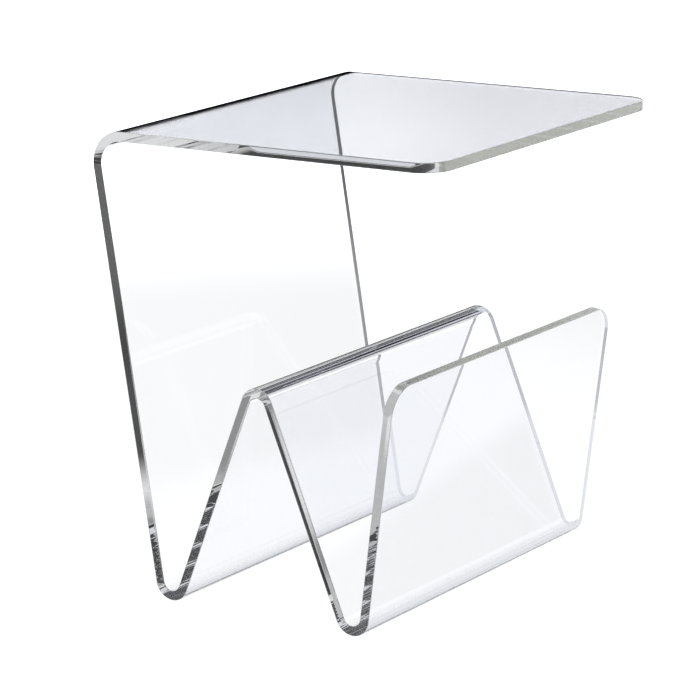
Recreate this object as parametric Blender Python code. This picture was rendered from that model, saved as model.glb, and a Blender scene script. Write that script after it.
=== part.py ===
"""Clear acrylic magazine rack with a tabletop: one sheet folded along four straight lines.

Seen from the front (looking along +Y) the sheet runs from the tabletop's free edge at the
right, leftwards to the top bend, down the leaning back panel to the rear floor bend, up and
down over the ridge that divides the two magazine pockets, round the front floor bend and up
the front panel to its free edge, the lip. The part stands on the two floor bends.

Frame: metres, +Z up, +Y from the near side to the far side, origin at the bottom centre.
"""
import math

import bmesh
import bpy

# Driving dimensions, in metres
HEIGHT = 0.470              # floor to the top face of the tabletop
DEPTH = 0.400               # width of the sheet, along Y
SHEET = 0.010               # thickness of the sheet
LENGTH = 0.4005             # from the outside of the top bend to the tabletop's free edge
REAR_BEND_X = 0.0775        # centre of the rear floor bend, from the outside of the top bend
RIDGE_X = 0.1895            # centre of the ridge bend, from the same place
RIDGE_TOP = 0.2320          # floor to the crest of the ridge
FRONT_BEND_X = 0.2950       # centre of the front floor bend
LIP_X = 0.3455              # middle of the front panel's free edge
LIP_Z = 0.2515
TOP_BEND_RADIUS = 0.0235    # inside radius of the top bend
RACK_BEND_RADIUS = 0.0095   # inside radius of the two floor bends and the ridge
CORNER_RADIUS = 0.028       # rounded corners of the two free edges
EDGE_EASE = 0.0005          # broken edge all round the sheet

BEND_STEP = math.radians(6.0)
CORNER_SEGMENTS = 8
EASE_SEGMENTS = 2
EASE_ANGLE = math.radians(40.0)

ACRYLIC_COLOR = (0.93, 0.96, 0.96, 1.0)
ACRYLIC_ROUGHNESS = 0.02
ACRYLIC_IOR = 1.49


def clear_scene():
    for item in list(bpy.data.objects):
        bpy.data.objects.remove(item, do_unlink=True)


def clear_acrylic():
    material = bpy.data.materials.new("clear_acrylic")
    material.use_nodes = True
    shader = material.node_tree.nodes["Principled BSDF"]
    shader.inputs["Base Color"].default_value = ACRYLIC_COLOR
    shader.inputs["Roughness"].default_value = ACRYLIC_ROUGHNESS
    shader.inputs["Metallic"].default_value = 0.0
    shader.inputs["IOR"].default_value = ACRYLIC_IOR
    shader.inputs["Transmission Weight"].default_value = 1.0
    return material


def bends():
    """The four bends in the order the sheet runs through them: centre x, centre z and the
    radius of the sheet's middle, positive where the sheet turns left and negative where it
    turns right."""
    top = TOP_BEND_RADIUS + SHEET / 2
    rack = RACK_BEND_RADIUS + SHEET / 2
    outside = RACK_BEND_RADIUS + SHEET
    return [
        (TOP_BEND_RADIUS + SHEET, HEIGHT - SHEET / 2 - top, top),
        (REAR_BEND_X, outside, rack),
        (RIDGE_X, RIDGE_TOP - outside, -rack),
        (FRONT_BEND_X, outside, rack),
    ]


def headings(stations):
    """Direction of each flat panel, as an angle from +X towards +Z. The flat between two
    bends is the straight line that touches both of their circles."""
    angles = [math.pi]
    for (x0, z0, r0), (x1, z1, r1) in zip(stations, stations[1:]):
        span = math.hypot(x1 - x0, z1 - z0)
        angles.append(math.atan2(z1 - z0, x1 - x0) - math.asin((r1 - r0) / span))
    return angles


def bend_angles(start, end):
    """Headings through one bend: its two ends and every whole step between them, so that the
    lowest, highest or outermost line of the bend is always one of them."""
    turn = 1 if end > start else -1
    first, last = sorted((start, end))
    steps = range(math.floor(first / BEND_STEP) + 1, math.ceil(last / BEND_STEP))
    inner = [step * BEND_STEP for step in steps]
    return [start] + inner[::turn] + [end]


def side_of_sheet(offset):
    """Points (x, z) along the sheet, offset to the left of the way that it runs."""
    stations = bends()
    lip = (LIP_X, LIP_Z, 0.0)
    angles = headings(stations + [lip])
    points = [(LENGTH, HEIGHT - SHEET / 2 - offset)]
    for (x, z, radius), before, after in zip(stations, angles, angles[1:]):
        after = before + math.copysign((math.copysign(1, radius) * (after - before)) % math.tau, radius)
        for angle in bend_angles(before, after):
            reach = offset - radius
            points.append((x - reach * math.sin(angle), z + reach * math.cos(angle)))
    last = angles[-1]
    points.append((LIP_X - offset * math.sin(last), LIP_Z + offset * math.cos(last)))
    return points


def sheet_outline():
    """Closed outline of the folded sheet's edge, centred on X."""
    outline = side_of_sheet(SHEET / 2) + side_of_sheet(-SHEET / 2)[::-1]
    return [(x - LENGTH / 2, z) for x, z in outline]


def is_end_corner(edge, end_points):
    """True for an edge that runs through the sheet's thickness at one of its free ends."""
    a, b = (vert.co for vert in edge.verts)
    if abs(a.y - b.y) > EDGE_EASE:
        return False
    ends = [min(math.hypot(co.x - x, co.z - z) for x, z in end_points) for co in (a, b)]
    return max(ends) < SHEET / 10


def folded_acrylic_sheet():
    outline = sheet_outline()
    half = len(outline) // 2
    end_points = [outline[0], outline[-1], outline[half - 1], outline[half]]
    mesh = bmesh.new()
    profile = mesh.faces.new([mesh.verts.new((x, -DEPTH / 2, z)) for x, z in outline])
    extruded = bmesh.ops.extrude_face_region(mesh, geom=[profile])["geom"]
    far_verts = [item for item in extruded if isinstance(item, bmesh.types.BMVert)]
    bmesh.ops.translate(mesh, verts=far_verts, vec=(0.0, DEPTH, 0.0))
    corners = [edge for edge in mesh.edges if is_end_corner(edge, end_points)]
    bmesh.ops.bevel(mesh, geom=corners, offset=CORNER_RADIUS, segments=CORNER_SEGMENTS,
                    profile=0.5, affect="EDGES", clamp_overlap=False)
    bmesh.ops.recalc_face_normals(mesh, faces=mesh.faces)

    data = bpy.data.meshes.new("folded_acrylic_sheet")
    mesh.to_mesh(data)
    mesh.free()
    data.shade_smooth()
    data.set_sharp_from_angle(angle=EASE_ANGLE)
    data.materials.append(clear_acrylic())
    sheet = bpy.data.objects.new("folded_acrylic_sheet", data)
    bpy.context.scene.collection.objects.link(sheet)

    ease = sheet.modifiers.new("eased_edges", "BEVEL")
    ease.width = EDGE_EASE
    ease.segments = EASE_SEGMENTS
    ease.limit_method = "ANGLE"
    ease.angle_limit = EASE_ANGLE
    ease.use_clamp_overlap = False
    return sheet


clear_scene()
folded_acrylic_sheet()
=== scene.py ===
"""Clear acrylic magazine rack with a tabletop: the finished look of the one folded sheet.

The sheet is worked out as a flat blank, a rectangle with rounded corners and eased edges, and
then bent along the same fold line as the frame's solid. Lengths are in metres, +Z is up.
"""
import math

import bmesh
import bpy
import numpy as np
from mathutils import Matrix, Vector


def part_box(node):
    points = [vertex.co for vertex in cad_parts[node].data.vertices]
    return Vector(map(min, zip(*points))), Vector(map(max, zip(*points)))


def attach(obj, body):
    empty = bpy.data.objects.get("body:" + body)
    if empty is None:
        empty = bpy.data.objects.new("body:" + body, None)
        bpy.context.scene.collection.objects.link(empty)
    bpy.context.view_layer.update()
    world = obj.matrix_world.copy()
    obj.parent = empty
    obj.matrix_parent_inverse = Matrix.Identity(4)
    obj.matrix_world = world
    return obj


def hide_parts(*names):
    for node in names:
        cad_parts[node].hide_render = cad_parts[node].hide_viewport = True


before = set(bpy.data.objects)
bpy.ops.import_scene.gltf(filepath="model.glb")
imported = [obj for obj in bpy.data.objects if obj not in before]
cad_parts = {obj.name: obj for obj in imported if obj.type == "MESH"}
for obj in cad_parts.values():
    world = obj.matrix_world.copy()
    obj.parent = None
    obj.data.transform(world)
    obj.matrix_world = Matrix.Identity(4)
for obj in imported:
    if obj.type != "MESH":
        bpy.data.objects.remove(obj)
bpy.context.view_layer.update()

# The frame gives the overall size; the fold line's own dimensions follow the frame's solid
SHEET_NODE = "folded_acrylic_sheet"
(LEFT, NEAR, FLOOR), (RIGHT, FAR, TABLE_TOP) = (tuple(corner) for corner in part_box(SHEET_NODE))
DEPTH = FAR - NEAR
SHEET = 0.010
REAR_BEND_X = 0.0775
RIDGE_X = 0.1895
RIDGE_TOP = 0.2320
FRONT_BEND_X = 0.2950
LIP_X = 0.3455
LIP_Z = 0.2515
TOP_BEND_RADIUS = 0.0235
RACK_BEND_RADIUS = 0.0095
CORNER_RADIUS = 0.028

# Acrylic: colours as they filter light, and the painted shade of a bend seen at a grazing angle;
# depths of relief in metres
BLACK = (0.0, 0.0, 0.0, 1.0)
CLEAR = (0.983, 0.989, 1.0, 1.0)
EASED = (0.80, 0.80, 0.81, 1.0)
CUT_DARK = (0.88, 0.88, 0.88, 1.0)
CUT_LIGHT = (0.98, 0.98, 0.98, 1.0)
# Painted shade: the colour a bend turns to where it is seen at a grazing angle
BEND_PAINTED_SHADE = (0.0, 0.0, 0.0, 1.0)
BODY_COLOUR = (0.70, 0.72, 0.10, 1.0)
BODY_DENSITY = 0.1
IOR = 1.49
SAW_GRAIN = (420.0, 420.0, 24.0)
SAW_STRENGTH = 0.25
SAW_DEPTH = 0.000002
STREAK_RANGE = (0.35, 0.65)
RIPPLE_GRAIN = (30.0, 22.0, 0.0)
RIPPLE_DEPTH = 0.00001
HAZE_GRAIN = (9.0, 14.0, 0.0)
HAZE_RANGE = (0.45, 0.8)
HAZE_ROUGHNESS = 0.004
# How grazing the view must be for the painted bend shade
GRAZING = (0.79, 0.83)

# Mesh: how finely it is cut, how far the heater's ripple reaches beside each bend, and how far and
# how strongly the painted bend shade reaches
EDGE_EASE = 0.0005
EASE_STEPS = 4
BEND_STEP = math.radians(1.5)
CORNER_STEPS = 24
GUARD = 0.0004
RIPPLE_MARGIN = 0.012
RIPPLE_STRENGTHS = (1.0, 1.0, 1.0, 1.0)
# Painted bend shade: its reach beside each bend and its strength in each bend
PAINTED_SHADE_MARGIN = 0.0115
PAINTED_SHADE_STRENGTHS = (2.2, 0.3, 0.6, 0.3)

# Floor, as linear light: what is seen directly or through the sheet, painted brighter far off, and
# what the sheet mirrors, a painted pool of light with painted shadows and a painted dim side
SEEN_WHITE = (1.07, 1.07, 1.07, 1.0)
FAR_WHITE = (2.04, 2.07, 2.15, 1.0)
FAR_START = (1.15, 2.35)
DIM_WAY = (0.82, 0.571, 0.0)
DIM_FALL = (0.0, 0.26)
DIM_TONE = 0.87
# Painted pool of light round the rack, seen only in what the sheet mirrors
POOL_LIGHT = (0.81, 0.82, 0.85, 1.0)
POOL_CENTRE = (-0.10, 0.0, 0.0)
POOL_FALL = (0.60, 1.15)
POOL_REST = 0.05
LIFT_START = (3.0, 6.0)
LIFT_TONE = 0.09
GLOW_START = (0.9, 1.6)
# Painted shadows on the floor, dim patches that only the cut edges show: centre, fall and tone
SHADOWS = (
    ((0.09, 0.25, 0.0), (0.18, 0.36), 0.62),
    ((-0.08, 0.29, 0.0), (0.06, 0.12), 0.55),
)
# Painted dim side of the floor, which the far cut edges show
SIDE_WAY = (-0.571, -0.821, 0.0)
SIDE_START = (0.22, 0.34)
SIDE_FALL = (0.9, 1.9)
SIDE_TONES = (0.40, 0.16)
FLOOR_SIZE = 60.0
FLOOR_GAP = 0.0002

# Walls and cards. Directions are in degrees: a turn from the studio's heading and a rise. A card
# is its turn from and to, its rise from and to and the softness of its border
STUDIO_LIGHT = (0.72, 0.74, 0.81, 1.0)
STUDIO_HEADING = 125.0
HORIZON_RISE = (8.3, 8.8)
HORIZON_TONE = 0.05
DARK_END = (0.574, 0.819)
DARK_SPREAD = (0.90, 0.86)
DARK_CARDS = (
    (-9.0, 15.0, 15.0, 32.0, 1.0),
    (-68.0, -7.0, 31.0, 46.0, 2.0),
)
SLANTED_CARD = (-0.45, 14.0, 7.0, 13.0, 0.1)
SLANT = 4.47
SLANT_RISE = 9.33
EDGE_CARD = (-102.0, -66.0, -5.0, 13.0, 2.0)
DARK_COVER = 0.96
GREY_CARD = (-8.0, 6.0, 8.0, 11.6, 0.3)
GREY_COVER = 0.80

# How many times light has been mirrored on its way, as limits between whole numbers
MIRRORED = 0.5
LONG_WAY = 3.5
INNER_BOUNCES = 160

# Camera: its heading and tilt, and the point that it looks at
CAMERA_AZIMUTH = math.radians(34.86)
CAMERA_ELEVATION = math.radians(13.96)
CAMERA_ROLL = math.radians(-1.41)
CAMERA_DISTANCE = 3.1118
CAMERA_TARGET = Vector((0.1575, -0.282, 0.309))
CAMERA_LENS = 175.8
CAMERA_SENSOR = 36.0
CAMERA_REACH = 200.0


def bends():
    """The four bends: centre x, centre z and the radius of the sheet's middle, positive where
    the sheet turns left on its way from the tabletop's free edge to the lip."""
    top = TOP_BEND_RADIUS + SHEET / 2
    rack = RACK_BEND_RADIUS + SHEET / 2
    outside = RACK_BEND_RADIUS + SHEET
    left = LEFT
    return [
        (left + TOP_BEND_RADIUS + SHEET, TABLE_TOP - SHEET / 2 - top, top),
        (left + REAR_BEND_X, FLOOR + outside, rack),
        (left + RIDGE_X, FLOOR + RIDGE_TOP - outside, -rack),
        (left + FRONT_BEND_X, FLOOR + outside, rack),
    ]


def fold_line():
    """The sheet's middle line as pieces in order: a start point, a start heading, a length and
    a curvature. A flat has no curvature; a bend turns at 1/radius. The flat between two bends
    is the straight line that touches both of their circles."""
    stations = bends() + [(LEFT + LIP_X, FLOOR + LIP_Z, 0.0)]
    x, z, radius = stations[0]
    pieces = [((RIGHT, TABLE_TOP - SHEET / 2), math.pi, RIGHT - x, 0.0)]
    heading = math.pi
    for (x0, z0, r0), (x1, z1, r1) in zip(stations, stations[1:]):
        span = math.hypot(x1 - x0, z1 - z0)
        after = math.atan2(z1 - z0, x1 - x0) - math.asin((r1 - r0) / span)
        turn = math.copysign(((after - heading) * math.copysign(1, r0)) % math.tau, r0)
        start = (x0 + r0 * math.sin(heading), z0 - r0 * math.cos(heading))
        pieces.append((start, heading, abs(r0) * abs(turn), 1 / r0))
        heading += turn
        start = (x0 + r0 * math.sin(heading), z0 - r0 * math.cos(heading))
        pieces.append((start, heading, math.sqrt(span ** 2 - (r1 - r0) ** 2), 0.0))
    return pieces


def bend_blank(along, across, up):
    """Places points of the flat blank on the folded sheet. along is measured down the sheet's
    middle from the tabletop's free edge, across from its centre line, up from its middle."""
    x = np.zeros_like(along)
    z = np.zeros_like(along)
    start = 0.0
    line = fold_line()
    for index, ((x0, z0), heading, length, curve) in enumerate(line):
        after_start = (along >= start) | (index == 0)
        before_end = (along < start + length) | (index == len(line) - 1)
        run = along - start
        angle = heading + curve * run
        if curve:
            px = x0 + (np.sin(angle) - math.sin(heading)) / curve
            pz = z0 - (np.cos(angle) - math.cos(heading)) / curve
        else:
            px = x0 + run * math.cos(heading)
            pz = z0 + run * math.sin(heading)
        here = after_start & before_end
        x = np.where(here, px - up * np.sin(angle), x)
        z = np.where(here, pz + up * np.cos(angle), z)
        start += length
    return np.stack([x, across, z], axis=-1)


def stations_along():
    """Distances down the blank where the mesh has a line across it: fine steps round each bend
    and guard lines just outside each bend and at the ends of its ripple margin and its painted-shade
    margin."""
    line = fold_line()
    total = sum(piece[2] for piece in line)
    marks = []
    start = 0.0
    for _, _, length, curve in line:
        if curve:
            steps = math.ceil(length * abs(curve) / BEND_STEP)
            marks.append(start + np.linspace(0.0, length, steps + 1))
            beside = np.array([GUARD, PAINTED_SHADE_MARGIN / 2, PAINTED_SHADE_MARGIN, RIPPLE_MARGIN])
            marks.extend([start - beside, start + length + beside])
        start += length
    return np.unique(np.round(np.concatenate(marks), 7)), total


def ripple_and_painted_shade_reach(along, margin, strengths):
    """How much of a bend's mark shows at a distance down the blank, for the heater's ripple and
    for the painted bend shade alike: each bend's own strength in the bend, falling to 0 over the
    margin beside it."""
    shown = np.zeros_like(along)
    start = 0.0
    strength = iter(strengths)
    for _, _, length, curve in fold_line():
        if curve:
            outside = np.maximum(start - along, along - start - length)
            here = next(strength) * (1 - np.clip(outside / margin, 0.0, 1.0))
            shown = np.maximum(shown, here)
        start += length
    return shown


def blank_outline():
    """The blank's outline and its outward normals, as two matching halves: the near side from
    the tabletop's end to the lip's end, and the far side, mirrored. Corners are quarter circles."""
    middle, total = stations_along()
    turn = np.linspace(0.0, math.pi / 2, CORNER_STEPS + 1)
    half = DEPTH / 2
    r = CORNER_RADIUS
    first = np.stack([r - r * np.cos(turn), -(half - r) - r * np.sin(turn)], axis=-1)
    first_normal = np.stack([-np.cos(turn), -np.sin(turn)], axis=-1)
    guards = np.array([r + GUARD, total - r - GUARD])
    straight = np.unique(np.concatenate([middle, guards]))
    side = np.stack([straight, np.full_like(straight, -half)], axis=-1)
    side_normal = np.tile([0.0, -1.0], (len(straight), 1))
    last = np.stack([total - first[::-1, 0], first[::-1, 1]], axis=-1)
    last_normal = first_normal[::-1] * [-1.0, 1.0]
    end_guard = np.array([[0.0, -(half - r) + GUARD]])
    end_normal = np.array([[-1.0, 0.0]])
    near = np.concatenate([end_guard, first, side, last, end_guard + [[total, 0.0]]])
    near_normal = np.concatenate([end_normal, first_normal, side_normal, last_normal, -end_normal])
    flip = np.array([1.0, -1.0])
    return near, near_normal, near * flip, near_normal * flip


def rim_section():
    """The cut edge's section from the upper face to the lower one, as inset and height: a guard
    line on the face, a quarter round, the flat of the cut and the same again below."""
    turn = np.linspace(0.0, math.pi / 2, EASE_STEPS + 1)
    inset = EDGE_EASE * (1 - np.sin(turn))
    height = SHEET / 2 - EDGE_EASE + EDGE_EASE * np.cos(turn)
    inset = np.concatenate([[EDGE_EASE + GUARD], inset, [0.0]])
    height = np.concatenate([[SHEET / 2], height, [SHEET / 2 - EDGE_EASE - GUARD]])
    return np.concatenate([inset, inset[::-1]]), np.concatenate([height, -height[::-1]])


def folded_sheet():
    """One closed surface: the rim is the outline carried through the rim's section, and each
    face of the sheet is strips that join the near side of the outline to the far side."""
    near, near_normal, far, far_normal = blank_outline()
    ring = np.concatenate([near, far[::-1]])
    normal = np.concatenate([near_normal, far_normal[::-1]])
    inset, height = rim_section()
    plan = ring[None] - normal[None] * inset[:, None, None]
    along, across = plan[..., 0], plan[..., 1]
    up = np.broadcast_to(height[:, None], along.shape)
    points = bend_blank(along, across, up)
    count, rings, half = len(ring), len(inset), len(near)

    k = np.arange(rings - 1)[:, None]
    j = np.arange(count)[None]
    after = (j + 1) % count
    above, below = k * count, (k + 1) * count
    rim = np.stack([above + j, above + after, below + after, below + j], axis=-1)
    i = np.arange(half - 1)
    mirror = count - 1 - i
    upper = np.stack([i, mirror, mirror - 1, i + 1], axis=-1)
    lower = (rings - 1) * count + upper[:, ::-1]
    faces = np.concatenate([rim.reshape(-1, 4), upper, lower])

    mesh = bpy.data.meshes.new("clear_sheet")
    mesh.from_pydata(points.reshape(-1, 3).tolist(), [], faces.tolist())
    mesh.validate()
    mesh.update()
    blank = np.stack([along, across, up], axis=-1)
    mesh.attributes.new("blank", "FLOAT_VECTOR", "POINT").data.foreach_set("vector", blank.ravel())
    cut = np.broadcast_to((inset < EDGE_EASE + GUARD / 2)[:, None], along.shape)
    eased = np.broadcast_to(((inset > 0) & (inset < EDGE_EASE))[:, None], along.shape)
    masks = {
        "bend": ripple_and_painted_shade_reach(along, RIPPLE_MARGIN, RIPPLE_STRENGTHS),
        # Painted shade along each bend, shown where the bend is seen at a grazing angle
        "painted_bend_shade": ripple_and_painted_shade_reach(along, PAINTED_SHADE_MARGIN, PAINTED_SHADE_STRENGTHS),
        "cut": cut.astype(float),
        "ease": eased.astype(float),
    }
    for name, values in masks.items():
        mesh.attributes.new(name, "FLOAT", "POINT").data.foreach_set("value", values.ravel())
    tidy = bmesh.new()
    tidy.from_mesh(mesh)
    bmesh.ops.recalc_face_normals(tidy, faces=tidy.faces)
    tidy.to_mesh(mesh)
    tidy.free()
    mesh.shade_smooth()
    return mesh


def wire(tree, kind, inputs=None, **settings):
    """A new node with its settings made and its inputs set or linked; an input's value may be
    a constant or another node's output."""
    node = tree.nodes.new(kind)
    for name, value in settings.items():
        setattr(node, name, value)
    for name, value in (inputs or {}).items():
        if isinstance(value, bpy.types.NodeSocket):
            tree.links.new(value, node.inputs[name])
        else:
            node.inputs[name].default_value = value
    return node


def remap(tree, value, low, high, to_low=0.0, to_high=1.0):
    """The value carried smoothly from the range low..high to the range to_low..to_high."""
    inputs = {"Value": value, "From Min": low, "From Max": high, "To Min": to_low, "To Max": to_high}
    return wire(tree, "ShaderNodeMapRange", inputs, interpolation_type="SMOOTHSTEP").outputs["Result"]


def maths(tree, operation, first, second=0.0):
    return wire(tree, "ShaderNodeMath", {0: first, 1: second}, operation=operation).outputs[0]


def times(tree, first, second):
    return maths(tree, "MULTIPLY", first, second)


def less_than_whole(tree, value):
    """What is left of 1 when the value is taken away."""
    return maths(tree, "SUBTRACT", 1.0, value)


def blend(tree, amount, first, second):
    """The colour that goes from first to second as amount goes from 0 to 1."""
    inputs = {"Factor": amount, 6: first, 7: second}
    return wire(tree, "ShaderNodeMix", inputs, data_type="RGBA").outputs[2]


def grain(tree, place, scale, detail):
    """Fractal noise over the blank, with its own scale along, across and through the sheet."""
    scaled = wire(tree, "ShaderNodeVectorMath", {0: place, 1: scale}, operation="MULTIPLY").outputs[0]
    inputs = {"Vector": scaled, "Scale": 1.0, "Detail": detail}
    return wire(tree, "ShaderNodeTexNoise", inputs).outputs["Fac"]


def stored(tree, name, output="Fac"):
    """What the mesh holds under a name at each point."""
    return wire(tree, "ShaderNodeAttribute", attribute_name=name).outputs[output]


def acrylic():
    """Clear cast acrylic. The faces are as cast, the cut edges are sawn and polished, the bends
    carry the faint ripple of the heater and a painted dark shade where they are seen at a grazing
    angle, and long ways through the sheet come out a little warm."""
    material = bpy.data.materials.new("clear_acrylic")
    material.use_nodes = True
    tree = material.node_tree
    shader = tree.nodes["Principled BSDF"]
    output = tree.nodes["Material Output"]
    place = stored(tree, "blank", "Vector")
    cut = stored(tree, "cut")

    # Cut edges: fine cross lines left under the polish
    saw = grain(tree, place, SAW_GRAIN, 3.0)
    saw_inputs = {"Height": times(tree, saw, cut), "Strength": SAW_STRENGTH, "Distance": SAW_DEPTH}
    saw_bump = wire(tree, "ShaderNodeBump", saw_inputs).outputs[0]
    # Bends: a slow ripple along each bend
    warm = remap(tree, stored(tree, "bend"), 0.0, 1.0)
    ripple = times(tree, grain(tree, place, RIPPLE_GRAIN, 1.0), warm)
    bump_inputs = {"Height": ripple, "Strength": 1.0, "Distance": RIPPLE_DEPTH, "Normal": saw_bump}
    bump = wire(tree, "ShaderNodeBump", bump_inputs)

    # Tint: the cut edges are a touch greyer, and a bend seen at a grazing angle is painted dark, a
    # painted shade that stands in for the dark line that refraction draws there
    facing = wire(tree, "ShaderNodeLayerWeight", {"Blend": 0.5}).outputs["Facing"]
    painted_bend_shade = maths(tree, "MINIMUM", stored(tree, "painted_bend_shade"), 1.0)
    painted_bend_shade = times(tree, remap(tree, facing, *GRAZING), painted_bend_shade)
    edge = blend(tree, remap(tree, saw, *STREAK_RANGE), CUT_DARK, CUT_LIGHT)
    body = blend(tree, stored(tree, "ease"), blend(tree, cut, CLEAR, edge), EASED)
    tint = blend(tree, painted_bend_shade, body, BEND_PAINTED_SHADE)

    # Polish: mirror smooth, with a trace of wiping haze
    haze = grain(tree, place, HAZE_GRAIN, 5.0)
    rough = remap(tree, haze, *HAZE_RANGE, 0.0, HAZE_ROUGHNESS)

    shader.inputs["IOR"].default_value = IOR
    shader.inputs["Transmission Weight"].default_value = 1.0
    tree.links.new(tint, shader.inputs["Base Color"])
    tree.links.new(rough, shader.inputs["Roughness"])
    tree.links.new(bump.outputs[0], shader.inputs["Normal"])
    inside = {"Color": BODY_COLOUR, "Density": BODY_DENSITY}
    depth = wire(tree, "ShaderNodeVolumeAbsorption", inside)
    tree.links.new(depth.outputs[0], output.inputs["Volume"])
    return material


def build_sheet():
    mesh = folded_sheet()
    sheet = bpy.data.objects.new("clear_sheet", mesh)
    bpy.context.scene.collection.objects.link(sheet)
    mesh.materials.append(acrylic())
    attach(sheet, "root")
    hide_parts(SHEET_NODE)


def mirrored_more_than(tree, limit):
    """1 for light that has been mirrored more often than the limit on its way, else 0."""
    depth = wire(tree, "ShaderNodeLightPath").outputs["Glossy Depth"]
    return maths(tree, "GREATER_THAN", depth, limit)


def seen_or_mirrored(tree, seen, mirrored):
    """One colour where the eye meets the studio directly or through the clear sheet, and the
    other where the light has been mirrored on its way."""
    return blend(tree, mirrored_more_than(tree, MIRRORED), seen, mirrored)


def distance_from(tree, place, centre):
    inputs = {0: place, 1: centre}
    return wire(tree, "ShaderNodeVectorMath", inputs, operation="DISTANCE").outputs["Value"]


def distance_towards(tree, place, way):
    inputs = {0: place, 1: way}
    return wire(tree, "ShaderNodeVectorMath", inputs, operation="DOT_PRODUCT").outputs["Value"]


def off_dark_ends(tree, place, reach):
    """0 towards the studio's two dark ends, to the left and right of +Y alike, and 1 well away
    from both. reach is how far off the place is."""
    parts = wire(tree, "ShaderNodeSeparateXYZ", {0: place}).outputs
    sideways = times(tree, maths(tree, "ABSOLUTE", parts["X"]), DARK_END[0])
    ahead = maths(tree, "ADD", sideways, times(tree, parts["Y"], DARK_END[1]))
    return remap(tree, maths(tree, "DIVIDE", ahead, reach), *DARK_SPREAD)


def floor_light(tree):
    """The floor's light. Seen directly or through the sheet it is white, and painted brighter far
    off, where it is seen through the tabletop at a low angle. Mirrored in the sheet it is a painted
    pool of light round the rack that falls off to dark towards the studio's dark ends, with painted
    shadows as dim patches and a painted dim side."""
    place = wire(tree, "ShaderNodeTexCoord").outputs["Object"]
    away = distance_from(tree, place, POOL_CENTRE)
    fall = remap(tree, away, *POOL_FALL, 1.0, POOL_REST)
    lift = remap(tree, away, *LIFT_START, 0.0, LIFT_TONE)
    glow = times(tree, off_dark_ends(tree, place, away), remap(tree, away, *GLOW_START))
    tone = maths(tree, "MAXIMUM", maths(tree, "ADD", fall, lift), glow)
    short = less_than_whole(tree, mirrored_more_than(tree, LONG_WAY))
    # Painted shadows, seen only at the end of long ways through the sheet
    for centre, reach, dark in SHADOWS:
        shadow = remap(tree, distance_from(tree, place, centre), *reach, dark, 1.0)
        tone = times(tree, tone, maths(tree, "MAXIMUM", shadow, short))
    pool = blend(tree, tone, BLACK, POOL_LIGHT)
    # The far cut edges show the painted dim side through the sheet
    along = distance_towards(tree, place, SIDE_WAY)
    dim = blend(tree, remap(tree, along, *SIDE_FALL, *SIDE_TONES), BLACK, POOL_LIGHT)
    pool = blend(tree, times(tree, remap(tree, along, *SIDE_START), short), pool, dim)
    across = distance_towards(tree, place, DIM_WAY)
    far_white = blend(tree, remap(tree, across, *DIM_FALL, 1.0, DIM_TONE), BLACK, FAR_WHITE)
    seen = blend(tree, remap(tree, away, *FAR_START), SEEN_WHITE, far_white)
    return seen_or_mirrored(tree, seen, pool)


def build_floor():
    """A white sweep, lit from below its surface as a light table is, so that nothing on it
    throws a shadow. What the sheet mirrors of it is a painted pool of light with painted shadows and
    a painted dim side."""
    mesh = bpy.data.meshes.new("studio_floor")
    size = FLOOR_SIZE
    corners = [(-size, -size, 0), (size, -size, 0), (size, size, 0), (-size, size, 0)]
    mesh.from_pydata(corners, [], [(0, 1, 2, 3)])
    floor = bpy.data.objects.new("studio_floor", mesh)
    bpy.context.scene.collection.objects.link(floor)
    floor.location.z = FLOOR - FLOOR_GAP
    material = bpy.data.materials.new("studio_floor")
    material.use_nodes = True
    material.cycles.emission_sampling = "NONE"
    tree = material.node_tree
    tree.nodes.remove(tree.nodes["Principled BSDF"])
    light = wire(tree, "ShaderNodeEmission", {"Color": floor_light(tree), "Strength": 1.0})
    tree.links.new(light.outputs[0], tree.nodes["Material Output"].inputs["Surface"])
    mesh.materials.append(material)


def card(tree, turn, rise, edges, cover):
    """How much of the light in a direction a hanging card takes away."""
    left, right, low, high, soft = edges
    sides = maths(tree, "SUBTRACT", remap(tree, turn, left - soft, left + soft),
                  remap(tree, turn, right - soft, right + soft))
    ends = maths(tree, "SUBTRACT", remap(tree, rise, low - soft, low + soft),
                 remap(tree, rise, high - soft, high + soft))
    return times(tree, times(tree, sides, ends), cover)


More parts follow.
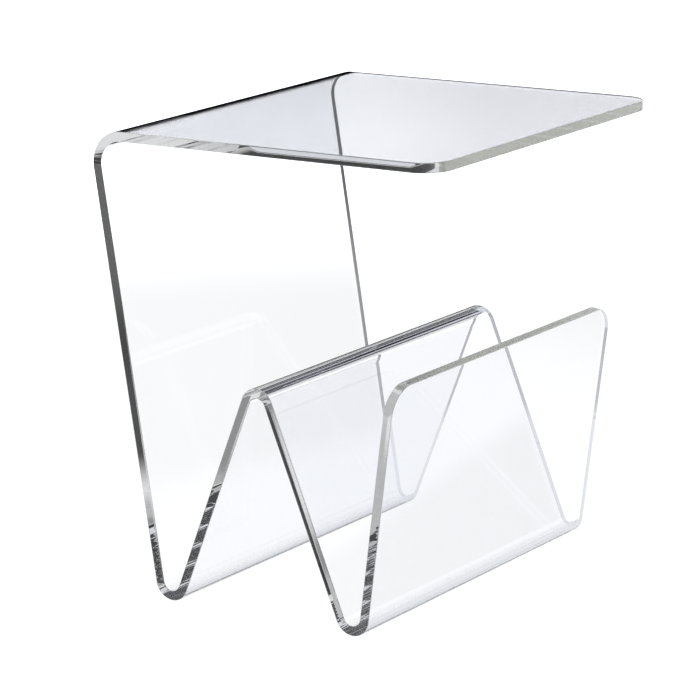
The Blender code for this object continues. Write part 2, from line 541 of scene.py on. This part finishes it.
def build_world():
    """The studio as the sheet mirrors it: pale walls and ceiling, a dark horizon at two ends, and
    cards hung in front of them that draw the dark lines in the bends and the cut edges."""
    world = bpy.data.worlds.new("studio")
    bpy.context.scene.world = world
    world.use_nodes = True
    world.cycles.sampling_method = "NONE"
    tree = world.node_tree
    way = wire(tree, "ShaderNodeTexCoord").outputs["Generated"]
    spin = {"Vector": way, "Angle": -math.radians(STUDIO_HEADING)}
    turned = wire(tree, "ShaderNodeVectorRotate", spin, rotation_type="Z_AXIS").outputs[0]
    parts = wire(tree, "ShaderNodeSeparateXYZ", {0: turned}).outputs
    turn = maths(tree, "DEGREES", maths(tree, "ARCTAN2", parts["Y"], parts["X"]))
    rise = maths(tree, "DEGREES", maths(tree, "ARCSINE", parts["Z"]))
    long_way = mirrored_more_than(tree, LONG_WAY)

    covers = [card(tree, turn, rise, edges, DARK_COVER) for edges in DARK_CARDS]
    # The slanting side of one card is mirrored along the top bend
    slant = times(tree, maths(tree, "SUBTRACT", rise, SLANT_RISE), -SLANT)
    slanted = maths(tree, "ADD", turn, slant)
    covers.append(card(tree, slanted, rise, SLANTED_CARD, DARK_COVER))
    # One card shows only at the end of the long ways through the sheet to a cut edge, and one
    # only in the faces of the sheet
    covers.append(times(tree, card(tree, turn, rise, EDGE_CARD, DARK_COVER), long_way))
    grey = card(tree, turn, rise, GREY_CARD, GREY_COVER)
    covers.append(times(tree, grey, less_than_whole(tree, long_way)))

    horizon = remap(tree, rise, *HORIZON_RISE, HORIZON_TONE, 1.0)
    light = maths(tree, "MAXIMUM", horizon, off_dark_ends(tree, way, 1.0))
    for cover in covers:
        light = times(tree, light, less_than_whole(tree, cover))
    mirrored = blend(tree, light, BLACK, STUDIO_LIGHT)
    background = tree.nodes["Background"]
    tree.links.new(seen_or_mirrored(tree, SEEN_WHITE, mirrored), background.inputs["Color"])
    background.inputs["Strength"].default_value = 1.0


def build_camera():
    camera = bpy.data.objects.new("camera", bpy.data.cameras.new("camera"))
    bpy.context.scene.collection.objects.link(camera)
    az, el, roll = CAMERA_AZIMUTH, CAMERA_ELEVATION, CAMERA_ROLL
    forward = Vector((-math.sin(az) * math.cos(el), math.cos(az) * math.cos(el), -math.sin(el)))
    side = Vector((math.cos(az), math.sin(az), 0.0))
    up = side.cross(forward)
    right = side * math.cos(roll) + up * math.sin(roll)
    upward = -side * math.sin(roll) + up * math.cos(roll)
    rotation = Matrix((right, upward, -forward)).transposed()
    place = CAMERA_TARGET - forward * CAMERA_DISTANCE
    camera.matrix_world = Matrix.Translation(place) @ rotation.to_4x4()
    camera.data.sensor_width = CAMERA_SENSOR
    camera.data.lens = CAMERA_LENS
    camera.data.clip_end = CAMERA_REACH
    bpy.context.scene.camera = camera


def set_view():
    """Light goes up and down inside the sheet many times before it leaves by an edge."""
    scene = bpy.context.scene
    scene.view_settings.view_transform = "Standard"
    scene.cycles.max_bounces = INNER_BOUNCES
    scene.cycles.transmission_bounces = INNER_BOUNCES
    scene.cycles.glossy_bounces = INNER_BOUNCES


build_camera()
build_sheet()
build_floor()
build_world()
set_view()
